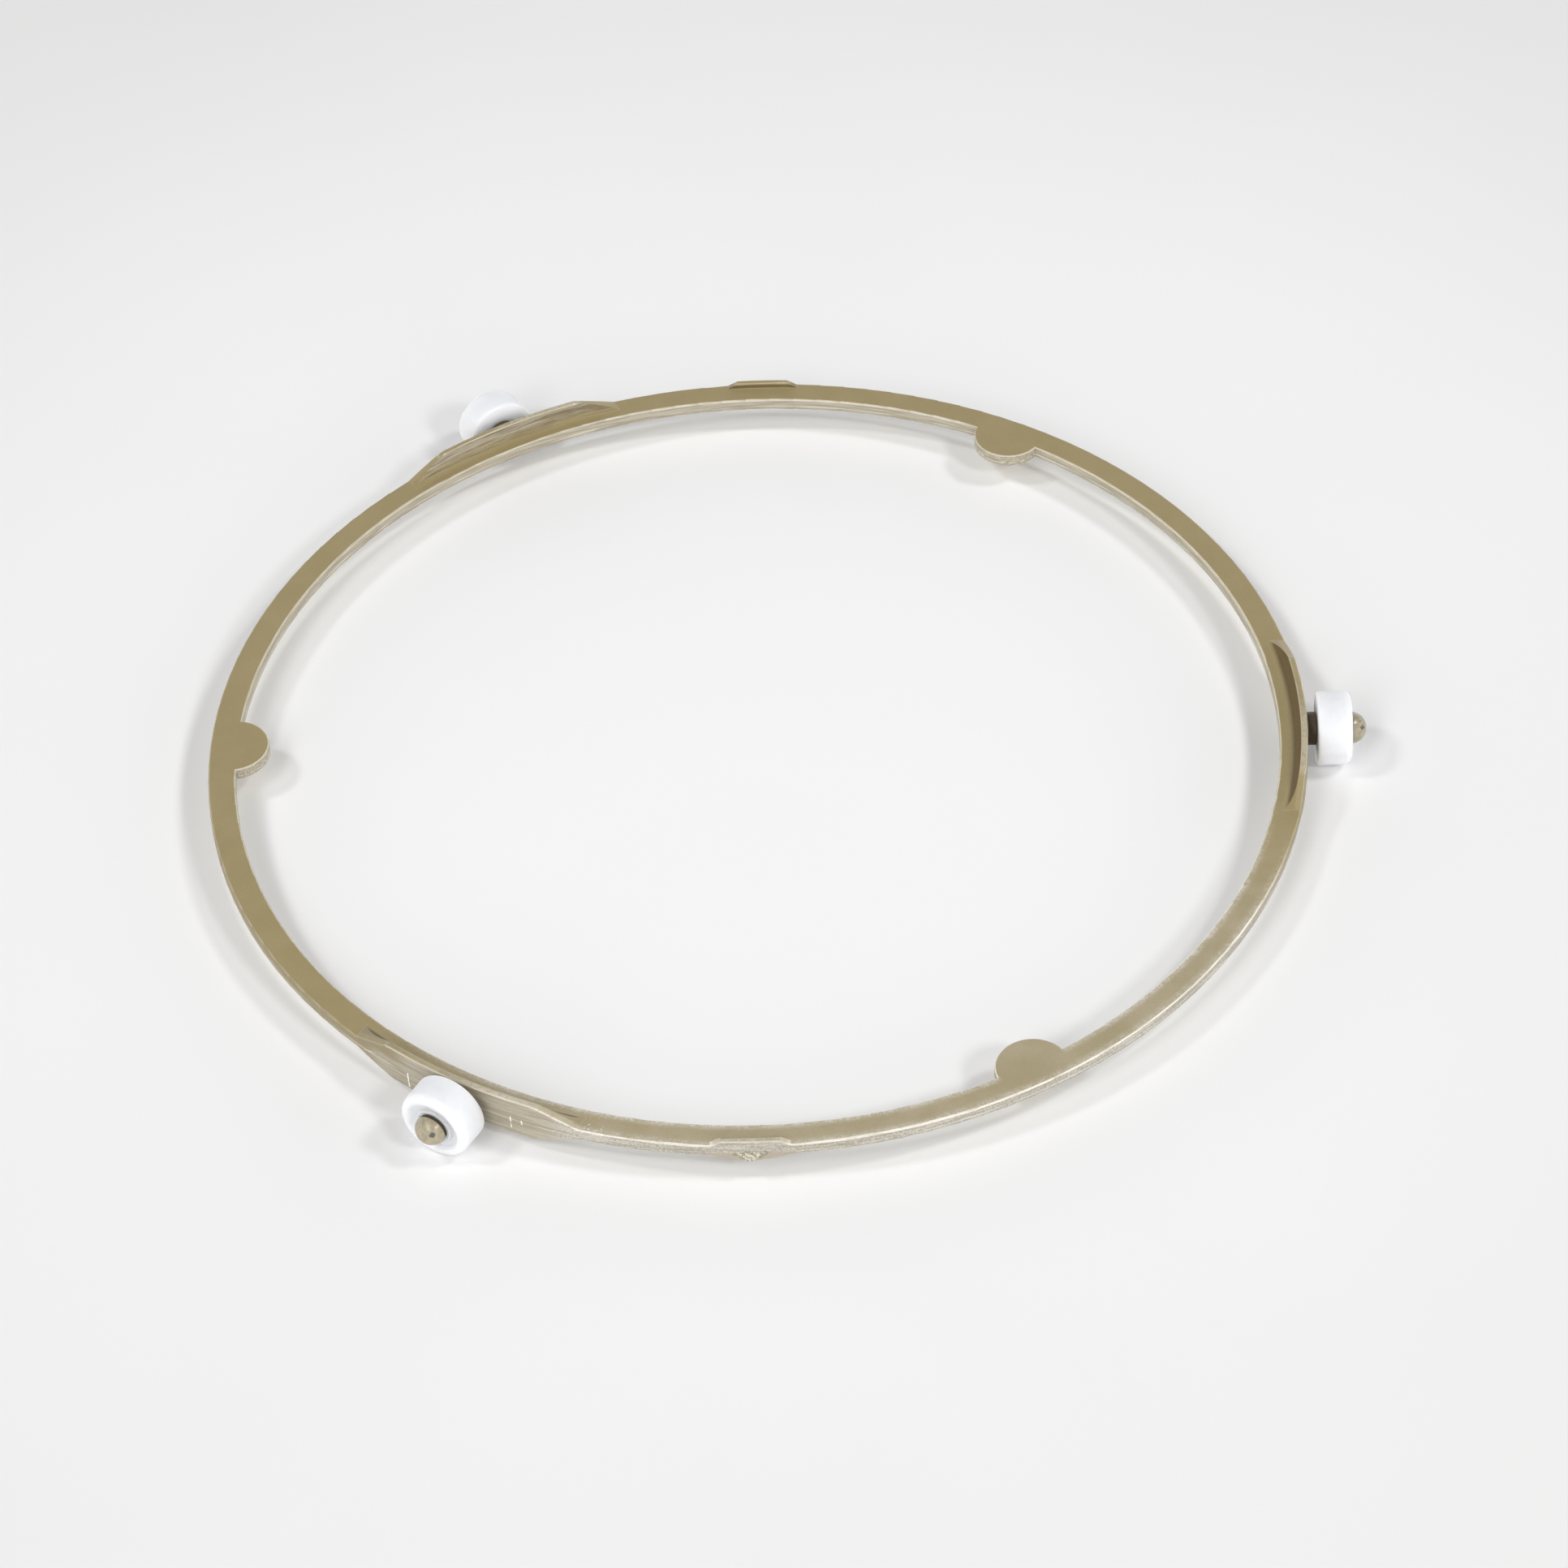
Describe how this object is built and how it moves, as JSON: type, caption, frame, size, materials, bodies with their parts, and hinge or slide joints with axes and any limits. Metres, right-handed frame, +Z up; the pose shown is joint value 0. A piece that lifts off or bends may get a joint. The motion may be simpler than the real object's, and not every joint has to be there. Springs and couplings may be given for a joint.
{
  "type": "microwave turntable roller ring",
  "caption": "Flat moulded ring with free-turning white rollers on axle stubs round its outer edge, which carries a glass turntable plate on a microwave oven's floor.",
  "frame": {"origin": "on the ring's axis, at the oven floor that the rollers stand on", "axes": "+Z up along the ring's axis, +X out along the axle of the first roller"},
  "size_m": [0.2203, 0.2095, 0.014],
  "materials": {
    "ring_resin": "satin tan moulded resin with pale rubbed edges",
    "roller_plastic": "smooth white fluoropolymer, slightly waxy"
  },
  "bodies": {
    "ring": {"support_ring": "ring_resin"},
    "roller_a": {"roller_1": "roller_plastic"},
    "roller_b": {"roller_2": "roller_plastic"},
    "roller_c": {"roller_3": "roller_plastic"}
  },
  "joints": [
    {"name": "roller_a_turn", "type": "hinge", "parent": "ring", "child": "roller_a", "pos_m": [0.10955, 0, 0.007], "axis": [1, 0, 0], "continuous": true},
    {"name": "roller_b_turn", "type": "hinge", "parent": "ring", "child": "roller_b", "pos_m": [-0.05477, 0.09487, 0.007], "axis": [-0.5, 0.866, 0], "continuous": true},
    {"name": "roller_c_turn", "type": "hinge", "parent": "ring", "child": "roller_c", "pos_m": [-0.05477, -0.09487, 0.007], "axis": [-0.5, -0.866, 0], "continuous": true}
  ]
}
